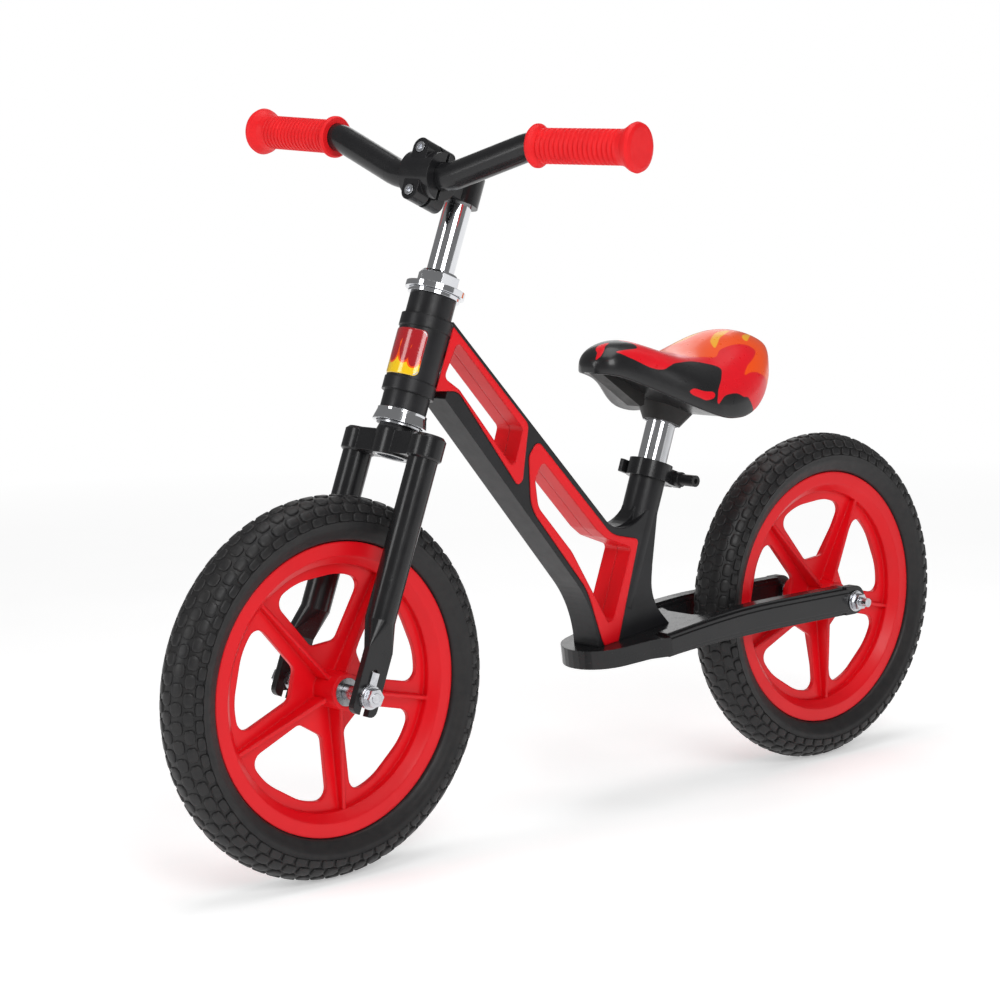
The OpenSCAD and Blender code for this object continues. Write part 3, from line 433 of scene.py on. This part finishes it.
# Printed areas as (t, s) on the cover
SIDE_BLACK = [(0.70, -0.06), (0.666, 0.027), (0.626, 0.045), (0.575, 0.068), (0.512, 0.062),
              (0.466, 0.02), (0.471, 0.065), (0.485, 0.102), (0.528, 0.168), (0.549, 0.217),
              (0.508, 0.272), (0.438, 0.302), (0.341, 0.225), (0.296, 0.16), (0.262, 0.108),
              (0.211, 0.092), (0.147, 0.132), (0.115, 0.17), (0.087, 0.233), (0.13, 0.24),
              (0.191, 0.272)]
NOSE_EDGE = [(0.205, 0.36), (0.17, 0.46), (0.215, 0.57), (0.235, 0.66)]
BLACK = SIDE_BLACK + NOSE_EDGE + mirrored(SIDE_BLACK) + [(0.3, 1.08), (-0.03, 1.08), (-0.03, 0.5),
                                                         (-0.03, -0.08), (0.3, -0.08)]
NOSE_LICK = [(0.067, 0.505), (0.107, 0.44), (0.075, 0.40), (0.051, 0.333), (0.029, 0.277),
             (0.016, 0.275), (0.022, 0.34), (0.034, 0.393), (0.045, 0.47)]
SIDE_LICK = [(0.351, 0.033), (0.371, 0.057), (0.407, 0.06), (0.45, 0.07), (0.451, 0.045),
             (0.415, 0.022), (0.388, 0.022), (0.36, 0.023)]
ORANGE = [(0.462, 0.458), (0.475, 0.375), (0.535, 0.33), (0.579, 0.297), (0.634, 0.323),
          (0.71, 0.303), (0.771, 0.257), (0.798, 0.198), (0.762, 0.173), (0.697, 0.158),
          (0.66, 0.128), (0.703, 0.122), (0.761, 0.092), (0.829, 0.025), (0.86, -0.06),
          (1.03, -0.06), (1.03, 1.06), (0.82, 1.06), (0.79, 0.95), (0.74, 0.90), (0.67, 0.885),
          (0.73, 0.84), (0.75, 0.79), (0.71, 0.73), (0.64, 0.70), (0.56, 0.71), (0.49, 0.66),
          (0.46, 0.57)]
YELLOWS = [
    [(0.624, 0.353), (0.645, 0.40), (0.67, 0.425), (0.738, 0.455), (0.80, 0.43), (0.75, 0.407),
     (0.70, 0.395), (0.66, 0.37)],
    [(0.785, 0.30), (0.802, 0.333), (0.852, 0.35), (0.90, 0.35), (0.855, 0.317), (0.80, 0.283)],
    [(0.60, 0.62), (0.65, 0.575), (0.72, 0.56), (0.77, 0.585), (0.71, 0.60), (0.66, 0.625)],
    [(0.80, 0.72), (0.84, 0.66), (0.90, 0.64), (0.87, 0.70), (0.83, 0.75)],
]
ACROSS_MM = 150
HEM_FULL_WIDTH = 9 * MM


def printed_distance(flat, shape):
    """Distance inside a printed shape, in millimetres on the flattened cover."""
    scale = np.array([SADDLE_LEN / MM, ACROSS_MM])
    return distance_inside(flat, smooth_outline(np.array(shape) * scale, 6))


def saddle_cover():
    along, over = 190, 121
    turn = np.linspace(0, math.pi, along)
    t = 0.5 - 0.494 * np.cos(turn)
    s = np.linspace(0, 1, over)
    tt, ss = np.meshgrid(t, s, indexing="ij")
    dome = saddle_dome(tt, ss)
    width = np.maximum(1 * MM, saddle_width(t))
    low = dome[:, 0, 2]
    x = dome[:, 0, 0]
    hem = []
    for inset, drop in ((0.4, 1.2), (1.6, 2.1), (3.2, 2.3), (4.6, 1.4)):
        share = np.minimum(1, width / HEM_FULL_WIDTH)
        y = np.maximum(0.2 * MM, width - inset * MM * share)
        fall = drop * MM * share
        hem.append(np.stack([x, y, low - fall], -1))
    right = [h * np.array([1, -1, 1]) for h in hem]
    left = hem[::-1]
    grid = np.concatenate([np.stack(left, 1), dome, np.stack(right, 1)], 1)
    rows, columns = grid.shape[:2]
    faces = grid_faces(rows, columns, wrap_columns=True)
    faces.append(tuple(range(columns)))
    faces.append(tuple(range((rows - 1) * columns, rows * columns)))
    cover = new_piece("saddle_cover", grid.reshape(-1, 3), faces, "seat", "saddle_vinyl", sharp=70)
    ends = np.concatenate([np.zeros(len(left)), s, np.ones(len(right))])
    scale = np.array([SADDLE_LEN / MM, ACROSS_MM])
    flat = np.stack(np.meshgrid(t, ends, indexing="ij"), -1).reshape(-1, 2) * scale
    licks = np.maximum(printed_distance(flat, NOSE_LICK), printed_distance(flat, SIDE_LICK))
    set_float(cover, "black", np.minimum(printed_distance(flat, BLACK), -licks))
    set_float(cover, "orange", printed_distance(flat, ORANGE))
    set_float(cover, "yellow", np.max([printed_distance(flat, y) for y in YELLOWS], 0))
    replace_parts(cover, "saddle_pad")
    return cover


saddle_cover()


# ---------- head badge ----------

def steering_axes():
    """Origin, ahead, left and up of the steering column."""
    up = unit(joints["steer"]["axis"])
    left = np.array([0.0, 1.0, 0.0])
    return np.array(joints["steer"]["pos_m"]), unit(np.cross(left, up)), left, up


FLAMES = [(-24, -2), (-24, 17), (-21, 27), (-19, 21), (-16.5, 13), (-13.5, 17), (-12.5, 25),
          (-9, 31), (-8, 23), (-5.5, 12), (-2.5, 13), (-1.5, 20), (-2, 26), (3, 33.5), (4.5, 26),
          (4, 19), (7, 12), (9.5, 15), (9, 23), (13, 30), (14.5, 24), (13, 16), (15.5, 9),
          (18, 12), (18.5, 19), (21.5, 25), (22.5, 18), (24, -2)]


BADGE_LOW = 250 * MM
BADGE_HIGH = 37 * MM
BADGE_HALF_TURN = 62
BADGE_R = 20.8 * MM
BADGE_FILM = 0.75 * MM
BADGE_CORNER = 4.5


def head_badge():
    origin, ahead, left, up = steering_axes()
    arc = math.radians(BADGE_HALF_TURN) * BADGE_R / MM
    middle = BADGE_HIGH / MM / 2
    x = np.linspace(-arc, arc, 131)
    y = np.linspace(0, 2 * middle, 107)
    xx, yy = np.meshgrid(x, y, indexing="ij")
    flat = np.stack([xx, yy], -1).reshape(-1, 2)
    straight = [arc - BADGE_CORNER, middle - BADGE_CORNER]
    reach = np.maximum(np.abs(flat - [0, middle]) - straight, 0)
    rim = BADGE_CORNER - np.linalg.norm(reach, axis=1)
    flat[:, 0] = np.where(rim < 0, flat[:, 0] * (1 + rim / arc), flat[:, 0])
    pull = np.where(rim < 0, rim, 0)
    flat[:, 1] += np.sign(middle - flat[:, 1]) * -pull * 0.7
    angle = flat[:, 0] * MM / BADGE_R
    lift = BADGE_FILM * (0.35 + 0.65 * quarter(np.clip(rim / 1.6, 0, 1)))

    def place(radius):
        return (origin + np.outer(np.cos(angle) * radius, ahead) + np.outer(np.sin(angle) * radius, left)
                + np.outer(BADGE_LOW + flat[:, 1] * MM, up))

    base = BADGE_R - BADGE_FILM
    top, back = place(base + lift), place(base + 0 * lift)
    rows, columns = len(x), len(y)
    faces = grid_faces(rows, columns)
    faces += [tuple(reversed(f)) for f in grid_faces(rows, columns, first=rows * columns)]
    edge = ([i * columns for i in range(rows)] + [(rows - 1) * columns + j for j in range(1, columns)]
            + [i * columns + columns - 1 for i in range(rows - 2, -1, -1)]
            + [j for j in range(columns - 2, 0, -1)])
    for a, b in zip(edge, edge[1:] + edge[:1]):
        faces.append((a, b, b + rows * columns, a + rows * columns))
    badge = new_piece("head_badge_label", np.concatenate([top, back]), faces, "frame", "badge_film")
    depth = distance_inside(flat, smooth_outline(FLAMES, 6))
    in_corner = reach.min(1) - 0.3
    printed = {
        "flame": depth - 0.7,
        "warm": depth - 1.7 - 0.03 * flat[:, 1],
        "hot": depth - 2.7 - 0.09 * flat[:, 1],
        "trim": np.minimum(np.minimum(rim - 0.6, 1.5 - rim), in_corner),
    }
    for attribute, values in printed.items():
        set_float(badge, attribute, np.concatenate([values, values]))
    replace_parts(badge, "head_badge")


head_badge()


# ---------- seat post ----------

KNURL_CENTRE = math.radians(115)
KNURL_HALF = math.radians(38)
KNURL_PITCH = 2.2
KNURL_DEPTH = 0.35 * MM
POST_HALF = 67.5 * MM


def seat_post():
    """Chromed tube with a band of fine herringbone knurling that marks its height."""
    low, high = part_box("seat_post")
    up = unit(joints["seat_height"]["axis"])
    left = np.array([0.0, 1.0, 0.0])
    ahead = unit(np.cross(left, up))
    centre = np.array((low + high) / 2)
    radius = (high.y - low.y) / 2
    count, rows = 160, 300
    z = np.linspace(-POST_HALF, POST_HALF, rows)
    a = np.linspace(0, 2 * math.pi, count, endpoint=False)
    zz, aa = np.meshgrid(z, a, indexing="ij")
    turn = aa - KNURL_CENTRE
    band = (np.cos(turn) > math.cos(KNURL_HALF)) & (zz < POST_HALF - 16 * MM)
    side = np.abs(np.arctan2(np.sin(turn), np.cos(turn)))
    wave = np.abs(((zz / MM + side * radius / MM * 1.2) / KNURL_PITCH) % 1 - 0.5) * 2
    groove = np.where(band, KNURL_DEPTH * np.clip(wave - 0.45, 0, 0.4) / 0.4, 0)
    r = radius - groove
    ring = (centre + (r * np.cos(aa))[..., None] * ahead + (r * np.sin(aa))[..., None] * left
            + zz[..., None] * up)
    faces = grid_faces(rows, count, wrap_columns=True)
    faces.append(tuple(range(count)))
    faces.append(tuple(range((rows - 1) * count, rows * count)))
    post = new_piece("seat_post_tube", ring.reshape(-1, 3), faces, "seat", "chrome", sharp=60)
    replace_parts(post, "seat_post")


seat_post()


# ---------- studio ----------

def stage_object(name, points, faces, material):
    mesh = bpy.data.meshes.new(name)
    mesh.from_pydata(points, [], faces)
    mesh.materials.append(material)
    thing = bpy.data.objects.new(name, mesh)
    bpy.context.scene.collection.objects.link(thing)
    return thing


def floor_material():
    """Matt white near the bike that fades to the backdrop's even white far away."""
    material, tree, shader = new_material("studio_floor")
    grain = mix(tree, remap(tree, noise(tree, 5), 0, 1), (0.90, 0.90, 0.90), (0.88, 0.88, 0.88))
    tree.links.new(grain, shader.inputs["Base Color"])
    shader.inputs["Roughness"].default_value = 0.9
    shader.inputs["Specular IOR Level"].default_value = 0.1
    shader.inputs["Emission Color"].default_value = (1, 1, 1, 1)
    shader.inputs["Emission Strength"].default_value = 0.40
    glow = tree.nodes.new("ShaderNodeEmission")
    where = tree.nodes.new("ShaderNodeTexCoord")
    length = tree.nodes.new("ShaderNodeVectorMath")
    length.operation = "LENGTH"
    tree.links.new(where.outputs["Object"], length.inputs[0])
    blend = tree.nodes.new("ShaderNodeMixShader")
    tree.links.new(remap(tree, length.outputs["Value"], 0, 1, 0.9, 2.6), blend.inputs[0])
    tree.links.new(shader.outputs[0], blend.inputs[1])
    tree.links.new(glow.outputs[0], blend.inputs[2])
    tree.links.new(blend.outputs[0], tree.nodes["Material Output"].inputs["Surface"])
    return material


def backdrop_material():
    material, tree, _ = new_material("studio_backdrop")
    glow = tree.nodes.new("ShaderNodeEmission")
    tree.links.new(glow.outputs[0], tree.nodes["Material Output"].inputs["Surface"])
    return material


def studio():
    size = 30
    corners = [(-size, -size, 0), (size, -size, 0), (size, size, 0), (-size, size, 0)]
    stage_object("studio_floor", corners, [(0, 1, 2, 3)], floor_material())
    turns = [math.radians(15 * i) for i in range(24)]
    wall = [(size * math.cos(a), size * math.sin(a), z) for z in (-size, size) for a in turns]
    faces = grid_faces(2, 24, wrap_columns=True)
    backdrop = stage_object("studio_backdrop", wall, faces, backdrop_material())
    for ray in ("diffuse", "glossy", "transmission", "shadow", "volume_scatter"):
        setattr(backdrop, "visible_" + ray, False)


def softbox(name, place, target, width, height, power):
    light = bpy.data.lights.new(name, "AREA")
    light.shape = "RECTANGLE"
    light.size = width
    light.size_y = height
    light.energy = power
    box = bpy.data.objects.new(name, light)
    box.location = place
    box.rotation_mode = "QUATERNION"
    box.rotation_quaternion = (Vector(target) - Vector(place)).to_track_quat("-Z", "Y")
    bpy.context.scene.collection.objects.link(box)


def camera():
    """Seen from the bike's left front, a little above the saddle."""
    yaw, pitch, roll = (math.radians(a) for a in (228.31, -7.46, -1.13))
    look = Vector((math.cos(pitch) * math.cos(yaw), math.cos(pitch) * math.sin(yaw), math.sin(pitch)))
    right = look.cross(Vector((0, 0, 1))).normalized()
    up = right.cross(look)
    x_axis = math.cos(roll) * right + math.sin(roll) * up
    y_axis = -math.sin(roll) * right + math.cos(roll) * up
    data = bpy.data.cameras.new("camera")
    data.lens = 90.82
    data.sensor_width = 36
    eye = bpy.data.objects.new("camera", data)
    turn = Matrix((x_axis, y_axis, -look)).transposed()
    eye.matrix_world = Matrix.Translation((1.4571, 1.5222, 0.5445)) @ turn.to_4x4()
    bpy.context.scene.collection.objects.link(eye)
    bpy.context.scene.camera = eye


def world():
    background = bpy.data.worlds.new("studio")
    bpy.context.scene.world = background
    background.use_nodes = True
    background.node_tree.nodes["Background"].inputs["Color"].default_value = (1, 1, 1, 1)
    background.node_tree.nodes["Background"].inputs["Strength"].default_value = 0.2


studio()
world()
camera()
softbox("key", (1.2, 2.6, 2.0), (0, 0, 0.3), 1.4, 1.6, 44)
softbox("top", (-0.1, 0.2, 2.6), (0, 0, 0.2), 2.2, 1.6, 26)
softbox("front", (2.8, -0.6, 1.3), (0.1, 0, 0.35), 0.8, 1.8, 20)
softbox("back", (-1.8, -2.0, 1.6), (0, 0, 0.3), 1.2, 1.6, 8)
bpy.context.scene.view_settings.view_transform = "Standard"
